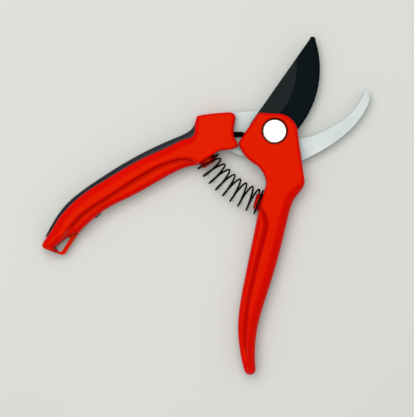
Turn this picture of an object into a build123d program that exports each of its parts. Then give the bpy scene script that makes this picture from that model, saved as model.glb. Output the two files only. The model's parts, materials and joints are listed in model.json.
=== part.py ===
"""Bypass pruning shears, shown fully open, as separate pieces.

Units are millimetres. The tool lies flat, with the pivot axis along +Z and the
underside of the pivot nut and of both grips on z = 0. The origin is on the pivot axis.
+Y runs from the handles to the jaws, halfway between the two open handles.

Profiles are drawn in a plane turned by DRAWING_TURN, where x runs along the lock bar
towards the pivot, so that every outline is stated beside the lock bar and the hook.
"""

import os
from math import cos, pi, radians, sin

from build123d import *

os.makedirs("parts", exist_ok=True)

# ---- driving dimensions ----
DRAWING_TURN = 34.0  # degrees from the drawing's x to the row's x
CLOSING_ANGLE = 42.5  # degrees that the blade side turns clockwise to close

SHELL_HEIGHT = 8.2  # each half shell, so the grips are 16.4 thick
HOOK_THICKNESS = 3.5
BLADE_THICKNESS = 3.0
PLATE_GAP = 0.1  # between the hook's top and the blade
RUNNING_GAP = 0.05  # radial, at the pivot
FIXED_GAP = 0.03  # radial, round pins and screws in their own holes

BLADE_BOTTOM = SHELL_HEIGHT
BLADE_TOP = BLADE_BOTTOM + BLADE_THICKNESS
HOOK_TOP = BLADE_BOTTOM - PLATE_GAP
HOOK_BOTTOM = HOOK_TOP - HOOK_THICKNESS
TOTAL_HEIGHT = 2 * SHELL_HEIGHT

BOLT_RADIUS = 4.0
BOLT_FLATS = 6.8  # across the two flats that key the bolt in the hook
BUSH_RADIUS = 5.0
HUB_RADIUS = 12.2  # the blade's heel round the pivot
PLATE_ARC_RADIUS = 22.3  # the hook plate's lower edge, centred on the pivot
COVER_ARC_RADIUS = 22.4  # the blade cover's lower left edge, centred on the pivot
SHELL_ARC_RADIUS = 26.0  # the blade grip's lower shell stays outside this

EDGE_CENTRE = (-27.9, 37.1)  # of the cutting edge's arc
EDGE_RADIUS = 54.7
BEVEL_WIDTH = 13.9
LOBE_RADIUS = 17.3  # the two lobes beside the lock's notch

CAP_RADIUS = 6.5
RECESS_RADIUS = 7.75
RECESS_FLOOR = 12.4
BUSH_TOP = RECESS_FLOOR + 0.1
BOLT_WASHER_THICKNESS = 0.4
BOLT_HEAD_HEIGHT = 2.0
BOLT_HEAD_BOTTOM = BUSH_TOP + BOLT_WASHER_THICKNESS
BOLT_HEAD_TOP = BOLT_HEAD_BOTTOM + BOLT_HEAD_HEIGHT
CAP_THICKNESS = 0.7

NUT_ACROSS_FLATS = 13.0
NUT_HEIGHT = 3.2
PLAIN_WASHER_THICKNESS = 0.8
PLAIN_WASHER_BOTTOM = HOOK_BOTTOM - PLAIN_WASHER_THICKNESS
WASHER_RADIUS = 8.0
BOLT_BOTTOM = 0.0
INSERT_BOTTOM = 0.4
INSERT_HEIGHT = 1.2

COIL_RADIUS = 7.03  # to the middle of the wire
WIRE_RADIUS = 0.55
COIL_TURNS = 9.2
COIL_END = 1.1  # from each seat to the middle of the wire's end
DEAD_TURNS = 0.6  # closed turns at each end
DEAD_PITCH = 1.15
COIL_START = 116.0  # degrees from the outside of the bend to the wire's first end
COIL_LEAN = 1.0  # how far each coil's upper half leans back towards the hook side
SPRING_BEND = 42.7  # degrees between the two seats' normals

LOCK_TRAVEL = 5.5
LOCK_Y = -1.76  # the lock bar's middle line
LOCK_WIDTH = 3.1
LOCK_TIP = -18.2
LOCK_END = -42.0
LOCK_GAP = 0.25
STEM_X = LOCK_TIP - 2.0  # the stem from the lock bar down to its button
STEM_RADIUS = 1.15
BUTTON_BOTTOM = 1.2
BUTTON_LENGTH = 8.0
BUTTON_WIDTH = 9.0
BUTTON_SCREW_HEAD = 1.6
DETENT_X = -33.0
DETENT_RADIUS = 0.5

GRIP_EDGE = 1.6  # rounding round the outside of the shells

PIN_RADIUS = 2.0
PIN_BOTTOM = 2.4
PIN_TOP = 13.6
INLAY_BOTTOM = 1.8
INLAY_TOP = 14.6
SCREW_RADIUS = 1.5
SCREW_HEAD_RADIUS = 2.8
SCREW_HEAD_HEIGHT = 1.8
SCREW_RECESS = 0.8
SCREW_TOP = 13.8

HOOK_SCREWS = [(-52.0, -10.2), (-86.0, -28.4), (-113.5, -46.6)]
HOOK_PINS = [(-31.0, 5.6), (-66.0, -17.9)]
BLADE_SCREWS = [(8.4, -29.5), (-4.8, -78.0), (-14.6, -117.0)]
BLADE_PINS = [(3.2, -40.0), (-2.6, -60.0)]

HOOK_SEAT = (Vector(-34.4, -12.7), Vector(-45.1, -19.5))  # ends of the spring's seat face
BLADE_SEAT = (Vector(-9.9, -49.5), Vector(-5.8, -34.0))
PEG_RADIUS = 5.3
PEG_STAND = 3.8
PEG_FOOT = 3.0

DRAWING = Plane.XY.rotated((0, 0, DRAWING_TURN))


def level(height):
    """The drawing plane at a height above the ground."""
    return DRAWING.offset(height)


def in_row(x, y, z):
    """A point of the drawing in the row's frame."""
    return DRAWING.from_local_coords(Vector(x, y, z))


def turned(x, y, angle):
    """A point of the drawing turned about the pivot by an angle in degrees."""
    return Vector(x, y).rotate(Axis.Z, angle)


def seat_plane(ends):
    """The plane of a spring seat at mid height, its z towards the spring."""
    start, end = ends
    middle = (start + end) * 0.5
    along = (end - start).normalized()
    outward = Vector(-along.Y, along.X)
    centre = in_row(middle.X, middle.Y, SHELL_HEIGHT)
    direction = in_row(outward.X, outward.Y, 0)
    return Plane(origin=centre, x_dir=(0, 0, 1), z_dir=direction)


# ---- outlines, drawn once and used by the pieces that share them ----
with BuildSketch() as blade_grip_outline:
    with BuildLine():
        head_top = Line((-9.4, 10.7), (1.0, 10.3))
        head_round = ThreePointArc(head_top @ 1, (9.8, 7.0), (13.6, -2.4))
        head_side = Line(head_round @ 1, (17.2, -27.0))
        back = Spline(
            head_side @ 1,
            (16.8, -32.4),
            (12.2, -38.6),
            (8.6, -47.5),
            (5.6, -60.0),
            (-3.2, -91.6),
            (-10.2, -116.2),
            (-11.4, -128.0),
            (-11.0, -139.0),
        )
        butt = ThreePointArc(back @ 1, (-14.5, -142.3), (-17.8, -139.4))
        front = Spline(
            butt @ 1, (-20.4, -127.0), (-21.3, -114.0), (-18.4, -91.6), (-13.2, -66.0), (-9.9, -49.5)
        )
        seat = Line(front @ 1, (-5.8, -34.0))
        cover_arc = CenterArc((0, 0), COVER_ARC_RADIUS, 243.0, -40.0)
        throat = Spline(seat @ 1, (-4.9, -29.4), (-6.4, -24.8), cover_arc @ 0)
        corner = Line(cover_arc @ 1, cover_arc @ 1 + cover_arc % 1 * 2.0)
        head_left = Line(corner @ 1, head_top @ 0)
    make_face()
    fillet(blade_grip_outline.vertices().sort_by(Axis.X)[0], 2.0)
    fillet(blade_grip_outline.vertices().filter_by(lambda v: v.Y > 10.5), 2.2)

with BuildSketch() as hook_grip_outline:
    with BuildLine():
        head_top = Spline((-45.2, 8.9), (-37.0, 10.2), (-23.0, 11.0))
        head_front = Spline(head_top @ 1, (-22.9, 7.0), (-24.0, -1.0), (-22.2, -5.7))
        nose_front = Line(head_front @ 1, turned(-23.0, 0, 22.8))
        nose_under = Line(nose_front @ 1, (-25.0, -10.5))
        belly = Line(nose_under @ 1, (-31.8, -11.1))
        step = Line(belly @ 1, (-34.4, -12.7))
        seat = Line(step @ 1, (-45.1, -19.5))
        front = Spline(
            seat @ 1,
            (-52.4, -21.2),
            (-63.7, -26.6),
            (-84.0, -38.0),
            (-100.0, -46.3),
            (-109.5, -54.2),
            (-115.2, -60.2),
            (-118.1, -64.4),
            (-123.5, -72.8),
        )
        butt = Line(front @ 1, (-136.6, -67.8))
        back = Spline(
            butt @ 1,
            (-131.9, -58.4),
            (-125.2, -49.6),
            (-114.5, -38.9),
            (-98.6, -28.2),
            (-74.0, -14.4),
            (-52.0, -3.6),
            (-47.6, 0.6),
            (-46.4, 5.0),
            head_top @ 0,
        )
    make_face()
    fillet(hook_grip_outline.vertices().filter_by(lambda v: v.Y > 10.5), 3.2)
    fillet(hook_grip_outline.vertices().filter_by(lambda v: v.Y < -66.0), 2.4)

with BuildSketch() as inlay_outline:
    with BuildLine():
        outer = Spline(
            (-46.2, 6.4),
            (-49.0, 1.0),
            (-56.3, -3.0),
            (-75.9, -11.9),
            (-89.3, -19.3),
            (-102.7, -27.8),
            (-113.5, -35.3),
            (-122.9, -43.7),
            (-129.8, -53.5),
            (-134.4, -62.2),
        )
        inner = Spline(
            outer @ 1,
            (-123.6, -49.6),
            (-113.2, -39.6),
            (-97.6, -29.6),
            (-73.0, -15.9),
            (-51.0, -4.9),
            (-46.0, 0.4),
            outer @ 0,
        )
    make_face()

with BuildSketch() as lanyard_outline:
    with BuildLine():
        Polyline(
            (-120.8, -61.6),
            (-128.8, -68.0),
            (-126.4, -70.8),
            (-124.7, -70.2),
            (-120.0, -62.8),
            close=True,
        )
    make_face()
    fillet(lanyard_outline.vertices(), 0.6)


# ---- the hook side: the counter blade ----
with BuildPart() as hook_blade:
    with BuildSketch(level(HOOK_BOTTOM)):
        with BuildLine():
            top = Line((-30.0, 10.6), (-1.1, 12.95))
            hub = ThreePointArc(top @ 1, (10.4, 7.8), (12.4, -3.9))
            inner = Spline(
                hub @ 1, (20.9, -3.0), (31.7, 1.5), (43.0, 8.9), (50.0, 17.2), (53.3, 24.6)
            )
            point = Line(inner @ 1, (54.5, 23.6))
            outer = Spline(
                point @ 1,
                (55.9, 19.6),
                (54.2, 14.2),
                (46.8, 3.6),
                (37.6, -4.7),
                (25.1, -12.6),
                turned(PLATE_ARC_RADIUS, 0, -58.8),
            )
            under = ThreePointArc(outer @ 1, (0, -PLATE_ARC_RADIUS), turned(-PLATE_ARC_RADIUS, 0, 42.8))
            heel = Line(under @ 1, (-26.0, -11.4))
            shoulder = Line(heel @ 1, (-29.0, -8.8))
            tang = Polyline(
                shoulder @ 1,
                (-43.0, -9.2),
                (-76.0, -26.4),
                (-78.4, -21.6),
                (-51.0, -6.4),
                (-44.2, 0.4),
                top @ 0,
            )
        make_face()
    extrude(amount=HOOK_THICKNESS)
    jaw = hook_blade.edges().group_by(Axis.Z)[0].sort_by_distance(in_row(34.0, 2.8, HOOK_BOTTOM))
    chamfer(jaw[0], length=0.9, length2=2.4)
    with BuildSketch(level(HOOK_BOTTOM)):
        Circle(BOLT_RADIUS + FIXED_GAP)
        Rectangle(3 * BOLT_RADIUS, BOLT_FLATS + 2 * FIXED_GAP, mode=Mode.INTERSECT)
    extrude(amount=HOOK_THICKNESS, mode=Mode.SUBTRACT)
    with BuildSketch(level(HOOK_BOTTOM)):
        with Locations((LOCK_TIP + 1.15, LOCK_Y)):
            SlotOverall(8.8, 2.5)
        with Locations(*HOOK_PINS):
            Circle(PIN_RADIUS + FIXED_GAP)
        with Locations(HOOK_SCREWS[0]):
            Circle(SCREW_RADIUS + 0.4)
    extrude(amount=HOOK_THICKNESS, mode=Mode.SUBTRACT)
hook_blade.part.label = "hook_blade"
export_step(hook_blade.part, "parts/hook_blade.step")

# ---- the black plug let into the left grip's inner edge ----
PLUG_PLANE = Plane(
    origin=in_row(-105.2, -47.0, SHELL_HEIGHT),
    x_dir=in_row(-0.777, -0.63, 0),
    z_dir=in_row(0.63, -0.777, 0),
)

with BuildPart() as edge_plug:
    with BuildSketch(PLUG_PLANE):
        SlotOverall(4.4, 2.6)
    extrude(amount=3.2)
    plug_end = PLUG_PLANE.from_local_coords(Vector(0, 0, 3.2))
    fillet(edge_plug.faces().sort_by_distance(plug_end)[0].edges(), 0.4)
edge_plug.part.label = "edge_plug"
export_step(edge_plug.part, "parts/edge_plug.step")

# ---- the hook side: the grip's two half shells ----
with BuildPart() as hook_tang_space:
    with BuildSketch(level(HOOK_BOTTOM)):
        with BuildLine():
            Polyline(
                (-20.0, -12.6),
                (-26.0, -11.6),
                (-29.0, -9.0),
                (-43.1, -9.4),
                (-76.1, -26.7),
                (-78.8, -21.5),
                (-51.1, -6.2),
                (-44.4, 0.5),
                (-30.1, 10.8),
                (-20.0, 12.0),
                close=True,
            )
        make_face()
    extrude(amount=SHELL_HEIGHT - HOOK_BOTTOM)

with BuildPart() as inlay_space:
    with BuildSketch(level(INLAY_BOTTOM)):
        add(inlay_outline.sketch)
    extrude(amount=INLAY_TOP - INLAY_BOTTOM)

with BuildPart() as hook_handle_lower_shell:
    with BuildSketch(level(0)):
        add(hook_grip_outline.sketch)
    extrude(amount=SHELL_HEIGHT)
    fillet(hook_handle_lower_shell.faces().sort_by(Axis.Z)[0].edges(), GRIP_EDGE)
    add(hook_tang_space.part, mode=Mode.SUBTRACT)
    add(inlay_space.part, mode=Mode.SUBTRACT)
    add(edge_plug.part, mode=Mode.SUBTRACT)
    with BuildSketch(level(0)):
        add(lanyard_outline.sketch)
    extrude(amount=SHELL_HEIGHT, mode=Mode.SUBTRACT)
    with BuildSketch(seat_plane(HOOK_SEAT)):
        Circle(PEG_RADIUS + FIXED_GAP)
    extrude(amount=-PEG_FOOT, mode=Mode.SUBTRACT)
    with BuildSketch(level(0)):
        with Locations(*HOOK_SCREWS):
            Circle(SCREW_HEAD_RADIUS + 0.2)
    extrude(amount=SCREW_RECESS + SCREW_HEAD_HEIGHT, mode=Mode.SUBTRACT)
    with BuildSketch(level(0)):
        with Locations(*HOOK_SCREWS):
            Circle(SCREW_RADIUS + 0.15)
    extrude(amount=SHELL_HEIGHT, mode=Mode.SUBTRACT)
    with BuildSketch(level(PIN_BOTTOM)):
        with Locations(*HOOK_PINS):
            Circle(PIN_RADIUS + FIXED_GAP)
    extrude(amount=SHELL_HEIGHT, mode=Mode.SUBTRACT)
hook_handle_lower_shell.part.label = "hook_handle_lower_shell"
export_step(hook_handle_lower_shell.part, "parts/hook_handle_lower_shell.step")

with BuildPart() as hook_handle_upper_shell:
    with BuildSketch(level(SHELL_HEIGHT)):
        add(hook_grip_outline.sketch)
    extrude(amount=SHELL_HEIGHT)
    fillet(hook_handle_upper_shell.faces().sort_by(Axis.Z)[-1].edges(), GRIP_EDGE)
    with BuildSketch(level(SHELL_HEIGHT)):
        with BuildLine():
            Polyline(
                (-112.0, -60.0),
                (-117.0, -59.4),
                (-120.8, -61.2),
                (-129.1, -67.7),
                (-127.4, -76.0),
                (-112.0, -76.0),
                close=True,
            )
        make_face()
    extrude(amount=SHELL_HEIGHT, mode=Mode.SUBTRACT)
    add(inlay_space.part, mode=Mode.SUBTRACT)
    add(edge_plug.part, mode=Mode.SUBTRACT)
    with BuildSketch(seat_plane(HOOK_SEAT)):
        Circle(PEG_RADIUS + FIXED_GAP)
    extrude(amount=-PEG_FOOT, mode=Mode.SUBTRACT)
    with BuildSketch(level(SHELL_HEIGHT)):
        with Locations((LOCK_END + 10.7, LOCK_Y)):
            Rectangle(22.0, LOCK_WIDTH + 2 * LOCK_GAP)
        with Locations((DETENT_X - 2.6, LOCK_Y + 3.1)):
            Rectangle(10.2, 2.6)
    extrude(amount=BLADE_THICKNESS, mode=Mode.SUBTRACT)
    with BuildSketch(level(SHELL_HEIGHT)):
        with Locations(*HOOK_SCREWS):
            Circle(SCREW_RADIUS + FIXED_GAP)
    extrude(amount=SCREW_TOP - SHELL_HEIGHT, mode=Mode.SUBTRACT)
    with BuildSketch(level(SHELL_HEIGHT)):
        with Locations(*HOOK_PINS):
            Circle(PIN_RADIUS + FIXED_GAP)
    extrude(amount=PIN_TOP - SHELL_HEIGHT, mode=Mode.SUBTRACT)
hook_handle_upper_shell.part.label = "hook_handle_upper_shell"
export_step(hook_handle_upper_shell.part, "parts/hook_handle_upper_shell.step")

with BuildPart() as palm_inlay:
    with BuildSketch(level(INLAY_BOTTOM)):
        add(inlay_outline.sketch)
    extrude(amount=INLAY_TOP - INLAY_BOTTOM)
palm_inlay.part.label = "palm_inlay"
export_step(palm_inlay.part, "parts/palm_inlay.step")


# ---- screws, pins and spring pegs, one shape for both grips ----
def make_screws(spots):
    """Pan head screws driven from the underside, with a cross recess."""
    with BuildPart() as screws:
        with BuildSketch(level(SCREW_RECESS)):
            with Locations(*spots):
                Circle(SCREW_HEAD_RADIUS)
        extrude(amount=SCREW_HEAD_HEIGHT)
        with BuildSketch(level(SCREW_RECESS + SCREW_HEAD_HEIGHT)):
            with Locations(*spots):
                Circle(SCREW_RADIUS)
        extrude(amount=SCREW_TOP - SCREW_RECESS - SCREW_HEAD_HEIGHT - 0.1)
        chamfer(screws.faces().filter_by(Plane.XY).group_by(Axis.Z)[0].edges(), 0.5)
        chamfer(screws.faces().filter_by(Plane.XY).group_by(Axis.Z)[-1].edges(), 0.5)
        with BuildSketch(level(SCREW_RECESS)):
            with Locations(*spots):
                Rectangle(3.2, 0.7)
                Rectangle(0.7, 3.2)
        extrude(amount=1.1, mode=Mode.SUBTRACT)
    return screws


def make_pins(spots):
    """Straight steel pins with chamfered ends."""
    with BuildPart() as pins:
        with BuildSketch(level(PIN_BOTTOM + 0.1)):
            with Locations(*spots):
                Circle(PIN_RADIUS)
        extrude(amount=PIN_TOP - PIN_BOTTOM - 0.2)
        chamfer(pins.faces().filter_by(Plane.XY).edges(), 0.3)
    return pins


def make_peg(seat_ends):
    """A stepped round peg let into the grip, standing inside the end coils."""
    with BuildPart() as peg:
        with BuildSketch(seat_plane(seat_ends).offset(-PEG_FOOT)):
            Circle(PEG_RADIUS)
        extrude(amount=PEG_FOOT + PEG_STAND)
        chamfer(peg.faces().sort_by_distance(peg_tip(seat_ends))[0].edges(), 1.2)
    return peg


def peg_tip(seat_ends):
    """The middle of a peg's free end."""
    return seat_plane(seat_ends).from_local_coords(Vector(0, 0, PEG_STAND))


hook_shell_screws = make_screws(HOOK_SCREWS)
hook_shell_screws.part.label = "hook_shell_screws"
export_step(hook_shell_screws.part, "parts/hook_shell_screws.step")

hook_tang_pins = make_pins(HOOK_PINS)
hook_tang_pins.part.label = "hook_tang_pins"
export_step(hook_tang_pins.part, "parts/hook_tang_pins.step")

hook_spring_peg = make_peg(HOOK_SEAT)
hook_spring_peg.part.label = "hook_spring_peg"
export_step(hook_spring_peg.part, "parts/hook_spring_peg.step")

blade_shell_screws = make_screws(BLADE_SCREWS)
blade_shell_screws.part.label = "blade_shell_screws"
export_step(blade_shell_screws.part, "parts/blade_shell_screws.step")

blade_tang_pins = make_pins(BLADE_PINS)
blade_tang_pins.part.label = "blade_tang_pins"
export_step(blade_tang_pins.part, "parts/blade_tang_pins.step")

blade_spring_peg = make_peg(BLADE_SEAT)
blade_spring_peg.part.label = "blade_spring_peg"
export_step(blade_spring_peg.part, "parts/blade_spring_peg.step")

# ---- the pivot ----
with BuildPart() as pivot_bolt:
    with BuildSketch(Plane.XY.offset(BOLT_BOTTOM)):
        Circle(BOLT_RADIUS)
    extrude(amount=BOLT_HEAD_BOTTOM - BOLT_BOTTOM)
    chamfer(pivot_bolt.faces().sort_by(Axis.Z)[0].edges(), 0.5)
    with BuildSketch(level(BOLT_BOTTOM)):
        Circle(BOLT_RADIUS + 1)
        Rectangle(3 * BOLT_RADIUS, BOLT_FLATS, mode=Mode.SUBTRACT)
    extrude(amount=HOOK_TOP - BOLT_BOTTOM, mode=Mode.SUBTRACT)
    with BuildSketch(Plane.XY.offset(BOLT_HEAD_BOTTOM)):
        Circle(CAP_RADIUS)
    extrude(amount=BOLT_HEAD_HEIGHT)
    with BuildSketch(Plane.XY.offset(BOLT_HEAD_TOP - 0.5)):
        Circle(CAP_RADIUS - 0.8)
    extrude(amount=0.5, mode=Mode.SUBTRACT)
pivot_bolt.part.label = "pivot_bolt"
export_step(pivot_bolt.part, "parts/pivot_bolt.step")

with BuildPart() as pivot_cap:
    with BuildSketch(Plane.XY.offset(BOLT_HEAD_TOP - 0.5)):
        Circle(CAP_RADIUS - 0.85)
    extrude(amount=0.5)
    with BuildSketch(Plane.XY.offset(BOLT_HEAD_TOP)):
        Circle(CAP_RADIUS)
    extrude(amount=CAP_THICKNESS)
    fillet(pivot_cap.faces().sort_by(Axis.Z)[-1].edges(), 0.35)
pivot_cap.part.label = "pivot_cap"
export_step(pivot_cap.part, "parts/pivot_cap.step")

with BuildPart() as pivot_bush:
    with BuildSketch(Plane.XY.offset(HOOK_TOP)):
        Circle(BUSH_RADIUS)
        Circle(BOLT_RADIUS + FIXED_GAP, mode=Mode.SUBTRACT)
    extrude(amount=BUSH_TOP - HOOK_TOP)
pivot_bush.part.label = "pivot_bush"
export_step(pivot_bush.part, "parts/pivot_bush.step")


def make_washer(bottom, thickness, outer, inner):
    """A flat ring round the pivot axis."""
    with BuildPart() as washer:
        with BuildSketch(Plane.XY.offset(bottom)):
            Circle(outer)
            Circle(inner, mode=Mode.SUBTRACT)
        extrude(amount=thickness)
    return washer


BOLT_HOLE = BOLT_RADIUS + FIXED_GAP
bolt_washer = make_washer(BUSH_TOP, BOLT_WASHER_THICKNESS, CAP_RADIUS + 0.3, BOLT_HOLE)
bolt_washer.part.label = "bolt_washer"
export_step(bolt_washer.part, "parts/bolt_washer.step")

plain_washer = make_washer(PLAIN_WASHER_BOTTOM, PLAIN_WASHER_THICKNESS, WASHER_RADIUS, BOLT_RADIUS + 0.2)
plain_washer.part.label = "plain_washer"
export_step(plain_washer.part, "parts/plain_washer.step")

with BuildPart() as spring_washer:
    with BuildSketch(Plane.XY.offset(NUT_HEIGHT)):
        Circle(NUT_ACROSS_FLATS / 2)
        Circle(BOLT_RADIUS + 0.2, mode=Mode.SUBTRACT)
        with Locations((6.0, 0)):
            Rectangle(6.0, 0.6, mode=Mode.SUBTRACT)
    extrude(amount=PLAIN_WASHER_BOTTOM - NUT_HEIGHT)
spring_washer.part.label = "spring_washer"
export_step(spring_washer.part, "parts/spring_washer.step")

with BuildPart() as pivot_nut:
    with BuildSketch(Plane.XY):
        RegularPolygon(NUT_ACROSS_FLATS / 2, 6, major_radius=False)
    extrude(amount=NUT_HEIGHT)
    with BuildSketch(Plane.XY):
        Circle(NUT_ACROSS_FLATS / 2 + 0.25)
    extrude(amount=NUT_HEIGHT, taper=-12, mode=Mode.INTERSECT)
    with BuildSketch(Plane.XY):
        Circle(BOLT_RADIUS + FIXED_GAP)
    extrude(amount=NUT_HEIGHT, mode=Mode.SUBTRACT)
    with BuildSketch(Plane.XY.offset(INSERT_BOTTOM)):
        Circle(BOLT_RADIUS + 1.0)
    extrude(amount=INSERT_HEIGHT, mode=Mode.SUBTRACT)
pivot_nut.part.label = "pivot_nut"
export_step(pivot_nut.part, "parts/pivot_nut.step")

nut_insert = make_washer(INSERT_BOTTOM, INSERT_HEIGHT, BOLT_RADIUS + 0.98, BOLT_RADIUS + FIXED_GAP)
nut_insert.part.label = "nut_insert"
export_step(nut_insert.part, "parts/nut_insert.step")


# ---- the return spring, wound on an arc that leaves each seat squarely ----
def coil_points():
    """Points along the wire's middle, from the hook side's seat to the blade side's."""
    start = seat_plane(HOOK_SEAT).origin
    end = seat_plane(BLADE_SEAT).origin
    chord = end - start
    bend_radius = chord.length / 2 / sin(radians(SPRING_BEND / 2))
    length = bend_radius * radians(SPRING_BEND) - 2 * COIL_END
    open_turns = COIL_TURNS - 2 * DEAD_TURNS
    open_pitch = (length - 2 * DEAD_TURNS * DEAD_PITCH) / open_turns
    inward = chord.normalized().rotate(Axis.Z, 90 - SPRING_BEND / 2)
    centre = start + inward * bend_radius
    points = []
    steps = round(COIL_TURNS * 12)
    for step in range(steps + 1):
        turn = COIL_TURNS * step / steps
        angle = radians(COIL_START + 360 * turn)
        closed = min(turn, DEAD_TURNS) + max(0, turn - COIL_TURNS + DEAD_TURNS)
        opened = min(1, min(turn, COIL_TURNS - turn) / (2 * DEAD_TURNS))
        travelled = COIL_END + closed * DEAD_PITCH + (turn - closed) * open_pitch
        travelled -= COIL_LEAN * opened * sin(angle)
        spine = centre + (inward * -bend_radius).rotate(
            Axis.Z, travelled / bend_radius * 180 / pi
        )
        radial = (spine - centre).normalized()
        upward = Vector(0, 0, 1) * sin(angle)
        points.append(spine + (radial * cos(angle) + upward) * COIL_RADIUS)
    return points


with BuildPart() as return_spring:
    with BuildLine() as wire:
        Spline(*coil_points())
    with BuildSketch(Plane(origin=wire.line @ 0, z_dir=wire.line % 0)):
        Circle(WIRE_RADIUS)
    sweep(is_frenet=True)
return_spring.part.label = "return_spring"
export_step(return_spring.part, "parts/return_spring.step")

# ---- the lock ----
with BuildPart() as lock_bar:
    with BuildSketch(level(SHELL_HEIGHT + 0.05)):
        with BuildLine():
            side = Line((LOCK_END, LOCK_Y - LOCK_WIDTH / 2), (LOCK_TIP - 0.6, LOCK_Y - LOCK_WIDTH / 2))
            nose = ThreePointArc(
                side @ 1, (LOCK_TIP, LOCK_Y), (LOCK_TIP - 0.6, LOCK_Y + LOCK_WIDTH / 2)
            )
            Polyline(nose @ 1, (LOCK_END, LOCK_Y + LOCK_WIDTH / 2), side @ 0)
        make_face()
        with Locations((DETENT_X - LOCK_TRAVEL / 2, LOCK_Y + LOCK_WIDTH / 2)):
            with GridLocations(LOCK_TRAVEL, 1, 2, 1):
                Circle(DETENT_RADIUS, mode=Mode.SUBTRACT)
    extrude(amount=BLADE_THICKNESS - 0.15)
    with BuildSketch(level(HOOK_BOTTOM - 0.1)):
        with Locations((STEM_X, LOCK_Y)):
            Circle(STEM_RADIUS)
    extrude(amount=HOOK_THICKNESS + 0.3)
    with BuildSketch(level(HOOK_BOTTOM - 0.1)):
        with Locations((STEM_X, LOCK_Y)):
            Circle(0.6)
    extrude(amount=HOOK_THICKNESS + 0.3, mode=Mode.SUBTRACT)
lock_bar.part.label = "lock_bar"
export_step(lock_bar.part, "parts/lock_bar.step")

with BuildPart() as lock_button:
    with BuildSketch(level(BUTTON_BOTTOM)):
        with Locations((STEM_X + 1.6, LOCK_Y)):
            RectangleRounded(BUTTON_LENGTH, BUTTON_WIDTH, 2.5)
    extrude(amount=HOOK_BOTTOM - 0.1 - BUTTON_BOTTOM)
    fillet(lock_button.faces().sort_by(Axis.Z)[0].edges(), 0.8)
    with BuildSketch(level(BUTTON_BOTTOM)):
        with Locations((STEM_X + 4.0, LOCK_Y), (STEM_X + 2.4, LOCK_Y)):
            Rectangle(0.7, BUTTON_WIDTH - 3.0)
    extrude(amount=0.5, mode=Mode.SUBTRACT)
    with BuildSketch(level(BUTTON_BOTTOM)):
        with Locations((STEM_X, LOCK_Y)):
            Circle(BUTTON_SCREW_HEAD + 0.1)
    extrude(amount=1.1, mode=Mode.SUBTRACT)
    with BuildSketch(level(BUTTON_BOTTOM)):
        with Locations((STEM_X, LOCK_Y)):
            Circle(0.7)
    extrude(amount=HOOK_BOTTOM, mode=Mode.SUBTRACT)
lock_button.part.label = "lock_button"
export_step(lock_button.part, "parts/lock_button.step")

with BuildPart() as lock_button_screw:
    with BuildSketch(level(BUTTON_BOTTOM + 0.1)):
        with Locations((STEM_X, LOCK_Y)):
            Circle(BUTTON_SCREW_HEAD)
    extrude(amount=1.0)
    with BuildSketch(level(BUTTON_BOTTOM + 1.1)):
        with Locations((STEM_X, LOCK_Y)):
            Circle(0.57)
    extrude(amount=5.0)
    with BuildSketch(level(BUTTON_BOTTOM + 0.1)):
        with Locations((STEM_X, LOCK_Y)):
            Rectangle(2.4, 0.5)
    extrude(amount=0.5, mode=Mode.SUBTRACT)
lock_button_screw.part.label = "lock_button_screw"
export_step(lock_button_screw.part, "parts/lock_button_screw.step")

with BuildPart() as lock_detent_spring:
    with BuildSketch(level(SHELL_HEIGHT + 0.4)):
        with BuildLine() as leaf:
            Polyline(
                (DETENT_X - 7.0, LOCK_Y + 3.9),
                (DETENT_X - 2.2, LOCK_Y + 2.6),
                (DETENT_X, LOCK_Y + 1.7),
                (DETENT_X + 1.6, LOCK_Y + 2.4),
                (DETENT_X + 2.0, LOCK_Y + 3.2),
            )
        trace(leaf.line, line_width=0.3)
    extrude(amount=2.2)
lock_detent_spring.part.label = "lock_detent_spring"
export_step(lock_detent_spring.part, "parts/lock_detent_spring.step")

# ---- the blade side: the cutting blade, its bevel a cone round the edge's centre ----
BEVEL_DIRECTION = in_row(cos(radians(-41.0)), sin(radians(-41.0)), 0)
BEVEL_CENTRE = in_row(EDGE_CENTRE[0], EDGE_CENTRE[1], 0)

with BuildPart() as bevel_cutter:
    with BuildSketch(Plane(BEVEL_CENTRE, BEVEL_DIRECTION, BEVEL_DIRECTION.cross(Vector(0, 0, 1)))):
        with BuildLine():
            Polyline(
                (EDGE_RADIUS - BEVEL_WIDTH, BLADE_TOP),
                (EDGE_RADIUS - 1.1, BLADE_BOTTOM + 0.85),
                (EDGE_RADIUS, BLADE_BOTTOM + 0.12),
                (EDGE_RADIUS + 3.0, BLADE_BOTTOM + 0.12),
                (EDGE_RADIUS + 3.0, BLADE_TOP + 1.0),
                (EDGE_RADIUS - BEVEL_WIDTH, BLADE_TOP + 1.0),
                close=True,
            )
        make_face()
    revolve(axis=Axis(BEVEL_CENTRE, (0, 0, 1)), revolution_arc=70)

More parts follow.
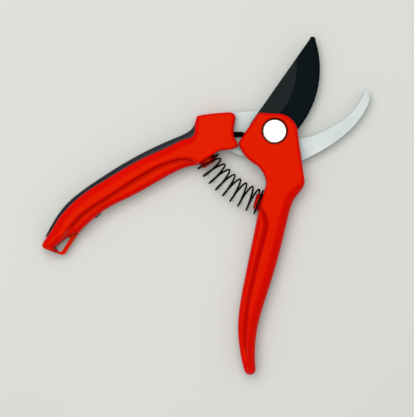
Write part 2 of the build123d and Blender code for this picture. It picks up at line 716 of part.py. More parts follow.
with BuildPart() as cutting_blade:
    with BuildSketch(level(BLADE_BOTTOM)):
        with BuildLine():
            spine = Line((20.7, 54.1), (-14.0, 4.7))
            shoulder = ThreePointArc(spine @ 1, (-14.3, 3.2), turned(-HUB_RADIUS, 0, -7.0))
            hub = ThreePointArc(
                shoulder @ 1, turned(-HUB_RADIUS, 0, 10.0), turned(-HUB_RADIUS, 0, 31.0)
            )
            step = Line(hub @ 1, turned(-LOBE_RADIUS, 0, 34.0))
            lobe = ThreePointArc(
                step @ 1, turned(-LOBE_RADIUS, 0, 48.0), turned(-LOBE_RADIUS, 0, 62.0)
            )
            tang = Polyline(
                lobe @ 1,
                (-3.4, -24.0),
                (-1.4, -30.0),
                (-2.4, -46.0),
                (-6.2, -67.0),
                (0.4, -68.0),
                (7.0, -46.0),
                (12.6, -33.0),
                (12.8, -24.0),
                turned(HUB_RADIUS, 0, -20.0),
            )
            cheek = ThreePointArc(tang @ 1, turned(HUB_RADIUS, 0, -8.0), (13.0, 0.4))
            edge = ThreePointArc(cheek @ 1, (26.35, 30.0), (24.2, 53.4))
            tip = ThreePointArc(edge @ 1, (22.6, 55.7), spine @ 0)
        make_face()
    extrude(amount=BLADE_THICKNESS)
    add(bevel_cutter.part, mode=Mode.SUBTRACT)
    with BuildSketch(level(BLADE_BOTTOM)):
        Circle(BUSH_RADIUS + RUNNING_GAP)
        with Locations(turned(-15.4, LOCK_Y, CLOSING_ANGLE)):
            Rectangle(6.0, LOCK_WIDTH + 2 * LOCK_GAP, rotation=CLOSING_ANGLE)
        with Locations(*BLADE_PINS):
            Circle(PIN_RADIUS + FIXED_GAP)
        with Locations(BLADE_SCREWS[0]):
            Circle(SCREW_RADIUS + 0.4)
    extrude(amount=BLADE_THICKNESS, mode=Mode.SUBTRACT)
cutting_blade.part.label = "cutting_blade"
export_step(cutting_blade.part, "parts/cutting_blade.step")

# ---- the blade side: the grip's two half shells ----
with BuildPart() as blade_handle_upper_shell:
    with BuildSketch(level(SHELL_HEIGHT)):
        add(blade_grip_outline.sketch)
    extrude(amount=SHELL_HEIGHT)
    fillet(blade_handle_upper_shell.faces().sort_by(Axis.Z)[-1].edges(), GRIP_EDGE)
    with BuildSketch(level(BLADE_BOTTOM)):
        Circle(COVER_ARC_RADIUS + 0.4)
        with BuildLine():
            Polyline(
                (-6.2, -19.9),
                (-3.7, -24.0),
                (-1.6, -30.1),
                (-2.6, -46.1),
                (-6.4, -67.2),
                (0.6, -68.2),
                (7.2, -46.1),
                (12.9, -33.0),
                (13.1, -20.0),
                close=True,
            )
        make_face()
    extrude(amount=BLADE_THICKNESS, mode=Mode.SUBTRACT)
    with BuildSketch(Plane.XY.offset(BLADE_TOP)):
        Circle(BUSH_RADIUS + RUNNING_GAP)
    extrude(amount=SHELL_HEIGHT, mode=Mode.SUBTRACT)
    with BuildSketch(Plane.XY.offset(RECESS_FLOOR)):
        Circle(RECESS_RADIUS)
    extrude(amount=SHELL_HEIGHT, mode=Mode.SUBTRACT)
    with BuildSketch(seat_plane(BLADE_SEAT)):
        Circle(PEG_RADIUS + FIXED_GAP)
    extrude(amount=-PEG_FOOT, mode=Mode.SUBTRACT)
    with BuildSketch(level(SHELL_HEIGHT)):
        with Locations(*BLADE_SCREWS):
            Circle(SCREW_RADIUS + FIXED_GAP)
    extrude(amount=SCREW_TOP - SHELL_HEIGHT, mode=Mode.SUBTRACT)
    with BuildSketch(level(SHELL_HEIGHT)):
        with Locations(*BLADE_PINS):
            Circle(PIN_RADIUS + FIXED_GAP)
    extrude(amount=PIN_TOP - SHELL_HEIGHT, mode=Mode.SUBTRACT)
blade_handle_upper_shell.part.label = "blade_handle_upper_shell"
export_step(blade_handle_upper_shell.part, "parts/blade_handle_upper_shell.step")

with BuildPart() as blade_handle_lower_shell:
    with BuildSketch(level(0)):
        add(blade_grip_outline.sketch)
        Circle(SHELL_ARC_RADIUS, mode=Mode.SUBTRACT)
    extrude(amount=SHELL_HEIGHT)
    fillet(blade_handle_lower_shell.faces().sort_by(Axis.Z)[0].edges(), GRIP_EDGE)
    with BuildSketch(seat_plane(BLADE_SEAT)):
        Circle(PEG_RADIUS + FIXED_GAP)
    extrude(amount=-PEG_FOOT, mode=Mode.SUBTRACT)
    with BuildSketch(level(0)):
        with Locations(*BLADE_SCREWS):
            Circle(SCREW_HEAD_RADIUS + 0.2)
    extrude(amount=SCREW_RECESS + SCREW_HEAD_HEIGHT, mode=Mode.SUBTRACT)
    with BuildSketch(level(0)):
        with Locations(*BLADE_SCREWS):
            Circle(SCREW_RADIUS + 0.15)
    extrude(amount=SHELL_HEIGHT, mode=Mode.SUBTRACT)
    with BuildSketch(level(PIN_BOTTOM)):
        with Locations(*BLADE_PINS):
            Circle(PIN_RADIUS + FIXED_GAP)
    extrude(amount=SHELL_HEIGHT, mode=Mode.SUBTRACT)
blade_handle_lower_shell.part.label = "blade_handle_lower_shell"
export_step(blade_handle_lower_shell.part, "parts/blade_handle_lower_shell.step")
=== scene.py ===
"""Bypass pruning shears: the looks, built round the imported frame."""

import json
import math

import bmesh
import bpy
import numpy as np
from mathutils import Matrix, Vector
from mathutils.geometry import delaunay_2d_cdt


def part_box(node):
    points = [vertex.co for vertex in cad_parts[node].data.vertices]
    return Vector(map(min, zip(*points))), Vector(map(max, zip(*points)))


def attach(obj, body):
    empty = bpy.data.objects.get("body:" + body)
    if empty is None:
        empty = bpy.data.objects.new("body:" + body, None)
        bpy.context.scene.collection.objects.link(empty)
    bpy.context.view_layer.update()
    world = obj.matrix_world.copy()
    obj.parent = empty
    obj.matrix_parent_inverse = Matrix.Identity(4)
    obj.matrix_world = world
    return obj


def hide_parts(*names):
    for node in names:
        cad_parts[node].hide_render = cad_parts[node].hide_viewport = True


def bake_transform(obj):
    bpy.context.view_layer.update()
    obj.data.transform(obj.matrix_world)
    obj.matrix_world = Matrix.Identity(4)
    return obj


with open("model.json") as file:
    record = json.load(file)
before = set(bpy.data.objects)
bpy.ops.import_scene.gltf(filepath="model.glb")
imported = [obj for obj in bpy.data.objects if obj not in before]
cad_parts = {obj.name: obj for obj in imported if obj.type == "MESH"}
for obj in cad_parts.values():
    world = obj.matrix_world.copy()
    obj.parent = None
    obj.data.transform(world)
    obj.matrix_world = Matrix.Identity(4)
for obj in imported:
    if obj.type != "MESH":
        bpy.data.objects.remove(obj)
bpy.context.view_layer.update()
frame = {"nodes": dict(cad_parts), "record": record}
nodes = frame["nodes"]
behaviour = frame["record"]["behaviour"]
scene = bpy.context.scene
scene.view_settings.view_transform = "Standard"

# Plain numbers are millimetres or degrees, unless a comment says otherwise.
MM = 0.001
TURN = math.radians(34.0)  # from the drawing's x to the row's x
COS, SIN = math.cos(TURN), math.sin(TURN)
pivot = next(j for j in behaviour["joints"] if j["name"] == "handle_pivot")
CLOSING = math.radians(pivot["range_deg"][1])
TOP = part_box("blade_handle_upper_shell")[1].z / MM
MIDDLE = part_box("hook_handle_lower_shell")[1].z / MM
BLADE_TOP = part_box("cutting_blade")[1].z / MM


def place(x, y, z):
    """A point of the drawing, in millimetres, in the row frame, in metres."""
    return Vector(((x * COS - y * SIN) * MM, (x * SIN + y * COS) * MM, z * MM))


# ---------------------------------------------------------------- materials
# In the looks below, a noise has its cells per metre, detail and roughness, a spread its least and most
# roughness of the surface, and a bump its strength and depth.
def material(look):
    """A material whose nodes a look makes, with the look's name."""
    mat = bpy.data.materials.new(look.__name__)
    mat.use_nodes = True
    look(mat.node_tree, mat.node_tree.nodes["Principled BSDF"])
    return mat


def coordinates(tree, scale=(1.0, 1.0, 1.0), turn=0.0):
    source = tree.nodes.new("ShaderNodeTexCoord")
    mapping = tree.nodes.new("ShaderNodeMapping")
    mapping.inputs["Scale"].default_value = scale
    mapping.inputs["Rotation"].default_value = (0.0, 0.0, turn)
    tree.links.new(source.outputs["Object"], mapping.inputs["Vector"])
    return mapping.outputs["Vector"]


def noise(tree, vector, scale, detail=2.0, roughness=0.5):
    node = tree.nodes.new("ShaderNodeTexNoise")
    node.inputs["Scale"].default_value = scale
    node.inputs["Detail"].default_value = detail
    node.inputs["Roughness"].default_value = roughness
    tree.links.new(vector, node.inputs["Vector"])
    return node.outputs["Fac"]


def ramp(tree, factor, stops):
    node = tree.nodes.new("ShaderNodeValToRGB")
    band = node.color_ramp
    while len(band.elements) < len(stops):
        band.elements.new(0.5)
    for element, (position, colour) in zip(band.elements, stops):
        element.position = position
        element.color = (*colour, 1.0)
    tree.links.new(factor, node.inputs["Fac"])
    return node.outputs["Color"]


def spread(tree, factor, low, high):
    node = tree.nodes.new("ShaderNodeMapRange")
    node.inputs["To Min"].default_value = low
    node.inputs["To Max"].default_value = high
    tree.links.new(factor, node.inputs["Value"])
    return node.outputs["Result"]


def bump(tree, shader, height, strength, distance):
    node = tree.nodes.new("ShaderNodeBump")
    node.inputs["Strength"].default_value = strength
    node.inputs["Distance"].default_value = distance
    tree.links.new(height, node.inputs["Height"])
    tree.links.new(node.outputs["Normal"], shader.inputs["Normal"])


def mix_node(tree, blend_type):
    node = tree.nodes.new("ShaderNodeMix")
    node.data_type = "RGBA"
    node.blend_type = blend_type
    return node


def painted_crevice_shade(tree, colour, deep, reach):
    """The colour with painted shade: darkened towards a deeper one in corners and hollows, where shade falls.
    """
    occlusion_shade = tree.nodes.new("ShaderNodeAmbientOcclusion")
    occlusion_shade.inputs["Distance"].default_value = reach
    occlusion_shade.samples = AO_SAMPLES
    mix = mix_node(tree, "MIX")
    mix.inputs["A"].default_value = (*deep, 1.0)
    tree.links.new(occlusion_shade.outputs["AO"], mix.inputs["Factor"])
    tree.links.new(colour, mix.inputs["B"])
    return mix.outputs["Result"]


# rays per point for the painted shade in corners and hollows
AO_SAMPLES = 8

# Every colour is linear. A pair is a look's darker and lighter cloud.
RED = (0.71, 0.0016, 0.0003), (0.77, 0.0024, 0.0004)
# the deepest painted shade of the red, in its corners, valley and low walls
RED_PAINTED_SHADE = (0.10, 0.0002, 0.0001)
RED_GLOSS = (1.0, 0.34, 0.01, 1.0)
RUBBER = (0.0055, 0.0075, 0.012), (0.0095, 0.0125, 0.018)
COATING = (0.0006, 0.0040, 0.0052), (0.0012, 0.0058, 0.0072)
STEEL = (0.395, 0.435, 0.425), (0.475, 0.515, 0.505)
STEEL_MARK = (0.74, 0.76, 0.75), (1.0, 1.0, 1.0), (1.14, 1.13, 1.12)
# the deepest painted shade of the steel, between the heads and in corners
STEEL_PAINTED_SHADE = (0.16, 0.18, 0.17)
STEEL_GRAIN = (260.0, 2600.0, 260.0)  # the brush marks' fineness along and across them
STEEL_GRAIN_TURN = math.radians(-26.0)
GREY_STEEL = (0.42, 0.43, 0.44), (0.56, 0.57, 0.58)
BRIGHT = (0.97, 0.97, 0.96, 1.0)
SPRING_BLACK = (0.0012, 0.0011, 0.0011), (0.0025, 0.0022, 0.0022)
PLASTIC_BLACK = (0.0008, 0.0007, 0.0007), (0.0018, 0.0015, 0.0015)
BRONZE = (0.36, 0.2, 0.07), (0.5, 0.3, 0.12)
WHITE = (0.6, 0.6, 0.56), (0.7, 0.7, 0.66)
FLOOR = (0.715, 0.735, 0.695), (0.735, 0.755, 0.715)


def clouds(tree, factor, pair, low=0.3, high=0.7):
    """A colour that drifts between the two of a pair."""
    return ramp(tree, factor, [(low, pair[0]), (high, pair[1])])


def paint(tree, shader, colour, gloss=None, metal=None):
    """Sets the colour, and where given how much of it shines and how metallic it is."""
    tree.links.new(colour, shader.inputs["Base Color"])
    if gloss is not None:
        shader.inputs["Specular IOR Level"].default_value = gloss
    if metal is not None:
        shader.inputs["Metallic"].default_value = metal


def red_plastic(tree, shader):
    vector = coordinates(tree)
    grain = noise(tree, vector, 1500.0, 2.0, 0.55)
    cloud = noise(tree, vector, 60.0, 3.0, 0.6)
    # painted shade: the red darkens towards this within 14 mm of nearby surfaces
    colour = painted_crevice_shade(tree, clouds(tree, cloud, RED), RED_PAINTED_SHADE, 14.0 * MM)
    paint(tree, shader, colour, gloss=0.14)
    tree.links.new(spread(tree, cloud, 0.26, 0.34), shader.inputs["Roughness"])
    shader.inputs["Specular Tint"].default_value = RED_GLOSS
    bump(tree, shader, grain, 0.16, 0.06 * MM)


def soft_grip(tree, shader):
    vector = coordinates(tree)
    grain = noise(tree, vector, 2600.0, 2.0, 0.6)
    cloud = noise(tree, vector, 150.0, 3.0, 0.6)
    paint(tree, shader, clouds(tree, cloud, RUBBER), gloss=0.3)
    shader.inputs["Roughness"].default_value = 0.5
    bump(tree, shader, grain, 0.35, 0.08 * MM)


def coated_blade(tree, shader):
    vector = coordinates(tree)
    grain = noise(tree, vector, 2200.0, 2.0, 0.6)
    smear = noise(tree, vector, 45.0, 4.0, 0.65)
    paint(tree, shader, clouds(tree, smear, COATING, high=0.75), gloss=0.055)
    tree.links.new(spread(tree, smear, 0.20, 0.30), shader.inputs["Roughness"])
    bump(tree, shader, grain, 0.10, 0.04 * MM)


def brushed_steel(tree, shader):
    streak = noise(tree, coordinates(tree, STEEL_GRAIN, STEEL_GRAIN_TURN), 1.0, 3.0, 0.7)
    cloud = noise(tree, coordinates(tree), 90.0, 4.0, 0.6)
    mark = ramp(tree, streak, list(zip((0.25, 0.5, 0.8), STEEL_MARK)))
    grained = mix_node(tree, "MULTIPLY")
    grained.inputs["Factor"].default_value = 1.0
    tree.links.new(clouds(tree, cloud, STEEL, 0.25, 0.75), grained.inputs["A"])
    tree.links.new(mark, grained.inputs["B"])
    # painted shade: the steel darkens towards this within 12 mm of nearby surfaces
    colour = painted_crevice_shade(tree, grained.outputs["Result"], STEEL_PAINTED_SHADE, 12.0 * MM)
    paint(tree, shader, colour, metal=0.75)
    tree.links.new(spread(tree, streak, 0.38, 0.56), shader.inputs["Roughness"])
    bump(tree, shader, streak, 0.3, 0.06 * MM)


def plain_steel(tree, shader):
    vector = coordinates(tree)
    cloud = noise(tree, vector, 400.0, 3.0, 0.6)
    paint(tree, shader, clouds(tree, cloud, GREY_STEEL), metal=1.0)
    tree.links.new(spread(tree, cloud, 0.28, 0.42), shader.inputs["Roughness"])
    bump(tree, shader, noise(tree, vector, 3000.0), 0.08, 0.03 * MM)


def bright_steel(tree, shader):
    vector = coordinates(tree)
    cloud = noise(tree, vector, 700.0, 3.0, 0.6)
    shader.inputs["Base Color"].default_value = BRIGHT
    shader.inputs["Metallic"].default_value = 0.85
    tree.links.new(spread(tree, cloud, 0.22, 0.32), shader.inputs["Roughness"])
    bump(tree, shader, noise(tree, vector, 2500.0), 0.05, 0.02 * MM)


def black_spring_steel(tree, shader):
    cloud = noise(tree, coordinates(tree), 900.0, 3.0, 0.6)
    paint(tree, shader, clouds(tree, cloud, SPRING_BLACK), gloss=0.04)
    tree.links.new(spread(tree, cloud, 0.36, 0.5), shader.inputs["Roughness"])
    bump(tree, shader, cloud, 0.08, 0.04 * MM)


def black_plastic(tree, shader):
    grain = noise(tree, coordinates(tree), 1800.0, 2.0, 0.6)
    paint(tree, shader, clouds(tree, grain, PLASTIC_BLACK), gloss=0.012)
    shader.inputs["Roughness"].default_value = 0.5
    bump(tree, shader, grain, 0.2, 0.05 * MM)


def bronze(tree, shader):
    cloud = noise(tree, coordinates(tree), 500.0)
    paint(tree, shader, clouds(tree, cloud, BRONZE), metal=1.0)
    shader.inputs["Roughness"].default_value = 0.4


def white_plastic(tree, shader):
    cloud = noise(tree, coordinates(tree), 500.0)
    paint(tree, shader, clouds(tree, cloud, WHITE))
    shader.inputs["Roughness"].default_value = 0.5


def floor_paint(tree, shader):
    cloud = noise(tree, coordinates(tree), 3.0, 3.0, 0.5)
    paint(tree, shader, clouds(tree, cloud, FLOOR), gloss=0.1)
    shader.inputs["Roughness"].default_value = 0.9


LOOKS = [
    red_plastic,
    soft_grip,
    coated_blade,
    brushed_steel,
    bright_steel,
    plain_steel,
    black_spring_steel,
    black_plastic,
    bronze,
    white_plastic,
]
MATERIALS = {look.__name__: material(look) for look in LOOKS}
SLOTS = {s["node"]: s["material_slot"] for s in frame["record"]["subparts"]}
BODY = {n: b for b, members in behaviour["bodies"].items() for n in members}
# Edges that bend more than these stay sharp.
CAD_SHARP, SHELL_SHARP, FLOOR_SHARP, WIRE_SHARP = 28.0, 55.0, 40.0, 60.0


def finish_piece(obj, slot_name, sharp):
    """Gives a piece its slot's material, smooth but for its sharp edges."""
    obj.data.materials.clear()
    obj.data.materials.append(MATERIALS[slot_name])
    for polygon in obj.data.polygons:
        polygon.use_smooth = True
    obj.data.set_sharp_from_angle(angle=math.radians(sharp))


for name, obj in nodes.items():
    finish_piece(obj, SLOTS[name], CAD_SHARP)


# ------------------------------------------------- the grips' moulded shells
DECIMALS = 7  # points that agree in this many decimals of a metre are one


def section_loops(obj, height):
    """The outlines of a CAD piece's cut at a height, in the drawing's millimetres, the largest first."""
    cut = bmesh.new()
    cut.from_mesh(obj.data)
    got = bmesh.ops.bisect_plane(
        cut,
        geom=cut.verts[:] + cut.edges[:] + cut.faces[:],
        plane_co=(0, 0, height * MM),
        plane_no=(0, 0, 1),
    )
    beside = {}
    for edge in got["geom_cut"]:
        if isinstance(edge, bmesh.types.BMEdge):
            a, b = [(round(v.co.x, DECIMALS), round(v.co.y, DECIMALS)) for v in edge.verts]
            if a != b:
                beside.setdefault(a, set()).add(b)
                beside.setdefault(b, set()).add(a)
    cut.free()
    loops = []
    left = set(beside)
    while left:
        here = left.pop()
        loop = [here]
        while onward := [point for point in beside[here] if point in left]:
            here = onward[0]
            left.discard(here)
            loop.append(here)
        if len(loop) > 2:
            x, y = np.array(loop).T / MM
            loops.append(np.c_[x * COS + y * SIN, -x * SIN + y * COS])
    return sorted(loops, key=lambda points: -abs(area(points)))


def area(points):
    """The area of a closed outline, positive where it runs anticlockwise."""
    x, y = points[:, 0], points[:, 1]
    return 0.5 * float(np.sum(x * np.roll(y, -1) - np.roll(x, -1) * y))


CORNER = 24.0  # an outline's bends sharper than this are kept
SMOOTHING = (0.5, -0.53)  # evens a line out, then gives back what it shrank
ROUNDS = 3


def resample(points, step):
    """The closed outline with even points, its facets smoothed away and its real corners kept."""
    if area(points) < 0:
        points = points[::-1]
    ahead = np.roll(points, -1, 0) - points
    behind = points - np.roll(points, 1, 0)
    cross = behind[:, 0] * ahead[:, 1] - behind[:, 1] * ahead[:, 0]
    bend = np.abs(np.degrees(np.arctan2(cross, (behind * ahead).sum(1))))
    corners = [i for i in range(len(points)) if bend[i] > CORNER] or [0]
    out, fixed = [], []
    for k, start in enumerate(corners):
        stop = corners[(k + 1) % len(corners)]
        span = (stop - start) % len(points) or len(points)
        run = points[[(start + i) % len(points) for i in range(span + 1)]]
        along = np.r_[0, np.cumsum(np.hypot(*np.diff(run, axis=0).T))]
        count = max(1, round(along[-1] / step))
        where = np.linspace(0, along[-1], count + 1)[:-1]
        out.append(np.c_[np.interp(where, along, run[:, 0]), np.interp(where, along, run[:, 1])])
        fixed += [len(corners) > 1] + [False] * (count - 1)
    even, held = np.concatenate(out), np.array(fixed)
    for _ in range(ROUNDS):
        for weight in SMOOTHING:
            moved = even + weight * ((np.roll(even, 1, 0) + np.roll(even, -1, 0)) / 2 - even)
            even = np.where(held[:, None], even, moved)
    return even


def inside(points, loop):
    """Which points lie inside a closed outline."""
    x, y = points[:, 0][:, None], points[:, 1][:, None]
    a, b = loop, np.roll(loop, -1, 0)
    crosses = (a[:, 1] > y) != (b[:, 1] > y)
    with np.errstate(divide="ignore", invalid="ignore"):
        cut = a[:, 0] + (y - a[:, 1]) * (b[:, 0] - a[:, 0]) / (b[:, 1] - a[:, 1])
    return (crosses & (x < cut)).sum(1) % 2 == 1


def nearest(points, line, closed=True):
    """Each point's distance to a line, its nearest segment, how far along that, and on which side."""
    a = line if closed else line[:-1]
    b = np.roll(line, -1, 0) if closed else line[1:]
    d = b - a
    best = np.full(len(points), np.inf)
    which = np.zeros(len(points), int)
    along = np.zeros(len(points))
    side = np.zeros(len(points))
    for i in range(len(a)):
        rel = points - a[i]
        t = np.clip((rel @ d[i]) / (d[i] @ d[i] + TINY), 0, 1)
        off = rel - t[:, None] * d[i]
        dist = np.hypot(off[:, 0], off[:, 1])
        hit = dist < best
        best = np.where(hit, dist, best)
        which = np.where(hit, i, which)
        along = np.where(hit, t, along)
        side = np.where(hit, d[i][0] * rel[:, 1] - d[i][1] * rel[:, 0], side)
    return best, which, along, np.sign(side)


def ease(t):
    """A smooth step from 0 to 1."""
    t = np.clip(t, 0, 1)
    return t * t * (3 - 2 * t)


def blended(values, loop, reach):
    """Values round a closed outline, evened out over a reach in millimetres."""
    step = np.hypot(*(np.roll(loop, -1, 0) - loop).T).mean()
    half = max(1, round(reach / step))
    kernel = np.hanning(2 * half + 3)[1:-1]
    kernel /= kernel.sum()
    wrapped = np.concatenate([values[-half:], values, values[:half]])
    return np.convolve(wrapped, kernel, mode="valid")


TINY = 1e-12  # keeps a division by zero away
STEP = 0.8  # spacing of the shells' mesh
RINGS = (0.035, 0.12, 0.25, 0.42, 0.68, 1.0)  # rows of points across an edge's rounding, as shares of it
VALLEY_RINGS = (-1.5, -1.0, -0.55, -0.1, 0.35, 0.8, 1.25, 1.8)  # rows of points beside the valley's line
RECESS_RINGS = (0.04, 0.2, 0.5, 1.0)  # rows of points across a soft edge, as shares of its radius
EVENING = 3.5  # the reach over which a rounding's size changes along the outline
SKIN = 0.03  # the faces lie this far inside the CAD's
VALLEY_STEP = 2.1  # how much lower the lip is than the crown
VALLEY_START, VALLEY_WIDTH = 0.9, 1.7
VALLEY_HOLLOW = 0.55  # the groove's own depth, below the lip
HOLLOW_MIDDLE, HOLLOW_SPREAD = 0.95, 0.7
FADE_START, FADE_LENGTH, FADE_SHARE = 124.0, 13.0, 0.65  # where the valley runs out towards the butt
NO_VALLEY = -99.0  # a distance far from any valley
INCLINE_SHARE, ROUND_SHARE = 0.6, 0.4  # an edge's drop is part incline and part quarter circle
INCLINE, INCLINE_START = 1.2, 0.2
RING_CLEAR = 0.93  # a row's points nearer the outline than this share of their place are dropped
# Room that points of the plan keep from the outline, from the rounding, and from a hole.
VALLEY_CLEAR, CHANGE_CLEAR, GRID_CLEAR, HOLE_CLEAR = 0.5, 0.25, 0.35, 0.02
VALLEY_ROOM = 2.0  # the grid keeps this far from the valley's line
MERGE = 1e-5  # points of the plan nearer than this are one
DROP = 0.5  # a stepped height changes by more than this
HALVINGS = 12
BESIDE = 0.03  # how far from a change of height the pinned points lie


def changes(a, b, values):
    """Pairs of points close on either side of where a stepped height changes between a and b."""
    va, vb = values(a), values(b)
    hit = np.abs(va - vb) > DROP
    p, q, v = a[hit], b[hit], va[hit]
    for _ in range(HALVINGS):
        middle = (p + q) / 2
        same = (np.abs(values(middle) - v) < DROP)[:, None]
        p, q = np.where(same, middle, p), np.where(same, q, middle)
    apart = (q - p) / (np.hypot(*(q - p).T)[:, None] + TINY) * BESIDE
    return hit, p - apart, q + apart


def pinned(outline, values):
    """The outline with extra points where a stepped height changes on it."""
    onward = np.roll(outline, -1, 0)
    hit, p, q = changes(outline, onward, values)
    at = dict(zip(np.flatnonzero(hit), zip(p, q)))
    out = []
    for i, point in enumerate(outline):
        out.append(point)
        out.extend(at.get(i, ()))
    return np.array(out)


def to_left(run):
    """The unit vectors to the left of a line's direction at each of its points."""
    return np.c_[-run[:, 1], run[:, 0]] / np.hypot(*run.T)[:, None]


def quarter(t):
    """A quarter circle's drop, from none at 0 to one radius at 1."""
    return 1 - np.sqrt(np.clip(1 - t * t, 0, 1))


class Shell:
    """A moulded half shell: its outline, the rounding of its edge, and what is sunk in its face."""

    def __init__(self, outline, holes, shoulder, valley, lip_side, low, soft=()):
        self.outline = pinned(outline, low)
        self.holes = holes
        self.valley = valley
        self.lip_side = lip_side
        wide, deep = shoulder(self.outline, self.across(self.outline))
        self.wide = blended(wide, self.outline, EVENING)
        self.deep = blended(deep, self.outline, EVENING)
        self.low = low
        self.soft = soft

    def across(self, points):
        """Signed distance from the valley's line, positive on the lip."""
        if self.valley is None:
            return np.full(len(points), NO_VALLEY)
        away, _, _, side = nearest(points, self.valley, closed=False)
        return away * side * self.lip_side

    def height(self, points):
        """The height of the shell's face: lower at its edge, on the lip, in the valley and round a recess."""
        dist, which, along, _ = nearest(points, self.outline)
        onward = (which + 1) % len(self.outline)
        wide = self.wide[which] * (1 - along) + self.wide[onward] * along
        deep = self.deep[which] * (1 - along) + self.deep[onward] * along
        t = np.clip(1 - dist / wide, 0, 1)
        incline = INCLINE * t * t / (t + INCLINE_START)
        drop = deep * (INCLINE_SHARE * incline + ROUND_SHARE * quarter(t))
        signed = self.across(points)
        step = VALLEY_STEP * ease((signed + VALLEY_START) / VALLEY_WIDTH)
        hollow = VALLEY_HOLLOW * np.exp(-((signed - HOLLOW_MIDDLE) ** 2) / HOLLOW_SPREAD)
        fade = 1 - FADE_SHARE * ease((-points[:, 1] - FADE_START) / FADE_LENGTH)
        z = TOP - SKIN - drop - (step + hollow) * fade
        for loop, radius in self.soft:
            z = z - radius * quarter(np.clip(1 - nearest(points, loop)[0] / radius, 0, 1))
        return z

    def within(self, points, gap):
        """The points that lie inside the outline and further than a gap from it."""
        points = points[inside(points, self.outline)]
        return points[nearest(points, self.outline)[0] > gap]

    def edge_points(self):
        """Rows of points across the rounding of the edge."""
        outline = self.outline
        inward = to_left(np.roll(outline, -1, 0) - np.roll(outline, 1, 0))
        for share in RINGS:
            ring = outline + inward * (self.wide * share)[:, None]
            ring = ring[inside(ring, outline)]
            dist, which, *_ = nearest(ring, outline)
            yield ring[dist > self.wide[which] * share * RING_CLEAR]

    def valley_points(self):
        """Rows of points beside the valley's line."""
        if self.valley is not None:
            to_lip = to_left(np.gradient(self.valley, axis=0)) * self.lip_side
            for offset in VALLEY_RINGS:
                yield self.within(self.valley + to_lip * offset, VALLEY_CLEAR)

    def soft_points(self):
        """Rows of points round each soft edge."""
        for loop, radius in self.soft:
            outward = loop - loop.mean(0)
            for share in RECESS_RINGS:
                yield loop + outward / np.hypot(*outward.T)[:, None] * radius * share

    def face_points(self):
        """A grid over the face, and pairs of points where the underside's height changes."""
        low, high = self.outline.min(0), self.outline.max(0)
        gx, gy = np.meshgrid(np.arange(low[0], high[0], STEP), np.arange(low[1], high[1], STEP))
        square = np.dstack([gx, gy])
        for a, b in ((square[:, :-1], square[:, 1:]), (square[:-1], square[1:])):
            _, p, q = changes(a.reshape(-1, 2), b.reshape(-1, 2), self.low)
            yield self.within(np.r_[p, q], CHANGE_CLEAR)
        gx = gx + (np.arange(gx.shape[0]) % 2)[:, None] * STEP / 2
        grid = np.c_[gx.ravel(), gy.ravel()]
        grid = grid[inside(grid, self.outline)]
        dist, which, *_ = nearest(grid, self.outline)
        grid = grid[dist > self.wide[which] + GRID_CLEAR]
        yield grid[np.abs(self.across(grid)) > VALLEY_ROOM]

    def plan(self):
        """Every point of the shell seen from above, clear of its holes."""
        rows = [*self.edge_points(), *self.valley_points(), *self.soft_points(), *self.face_points()]
        points = np.concatenate(rows)
        for hole in self.holes:
            points = points[~inside(points, hole)]
            points = points[nearest(points, hole)[0] > HOLE_CLEAR]
        return points

    def mesh(self, name, flip):
        """The closed solid: the plan's triangles at the face's height and the underside's, and walls."""
        loops = [self.outline] + list(self.holes)
        ids, count = [], 0
        for loop in loops:
            ids.append(list(range(count, count + len(loop))))
            count += len(loop)
        every = np.concatenate(loops + [self.plan()])
        edges = [(run[i], run[(i + 1) % len(run)]) for run in ids for i in range(len(run))]
        got = delaunay_2d_cdt([Vector(p) for p in every], edges, [], 1, MERGE)
        plan = np.array([[v.x, v.y] for v in got[0]])
        faces = [list(f) for f in got[2]]
        middle = np.array([plan[f].mean(0) for f in faces])
        keep = inside(middle, self.outline)
        for hole in self.holes:
            keep &= ~inside(middle, hole)
        new_of = {old: new for new, olds in enumerate(got[3]) for old in olds}
        total = len(plan)
        verts = [place(p[0], p[1], z) for p, z in zip(plan, self.height(plan))]
        verts += [place(p[0], p[1], z) for p, z in zip(plan, self.low(plan))]
        made = []
        for face, kept in zip(faces, keep):
            if kept:
                face = face if area(plan[face]) > 0 else face[::-1]
                made.append(face)
                made.append([i + total for i in face[::-1]])
        for a, b in edges:
            a, b = new_of[a], new_of[b]
            if a != b:
                made.append([a + total, b + total, b, a])
        if flip:
            verts = [Vector((v.x, v.y, 2 * MIDDLE * MM - v.z)) for v in verts]
        return build(name, verts, made)


def build(name, verts, faces):
    mesh = bpy.data.meshes.new(name)
    mesh.from_pydata([tuple(v) for v in verts], [], faces)
    mesh.validate()
    mesh.update()
    cleaned = bmesh.new()
    cleaned.from_mesh(mesh)
    bmesh.ops.recalc_face_normals(cleaned, faces=cleaned.faces[:])
    cleaned.to_mesh(mesh)
    cleaned.free()
    obj = bpy.data.objects.new(name, mesh)
    scene.collection.objects.link(obj)
    return obj


def circle(x, y, r, count):
    turn = np.linspace(0, 2 * math.pi, count, endpoint=False)
    return np.c_[x + r * np.cos(turn), y + r * np.sin(turn)]


def curve(points):
    """A smooth open curve through a few points."""
    p = np.array(points, float)
    ends = np.r_[[2 * p[0] - p[1]], p, [2 * p[-1] - p[-2]]]
    out = []
    for i in range(len(p) - 1):
        a, b, c, d = ends[i : i + 4]
        count = max(2, round(np.hypot(*(c - b)) / STEP))
        for t in np.linspace(0, 1, count, endpoint=False):
            square = (2 * a - 5 * b + 4 * c - d) * t**2
            cube = (3 * b - a - 3 * c + d) * t**3
            out.append(0.5 * (2 * b + (c - a) * t + square + cube))
    return np.array(out + [p[-1]])


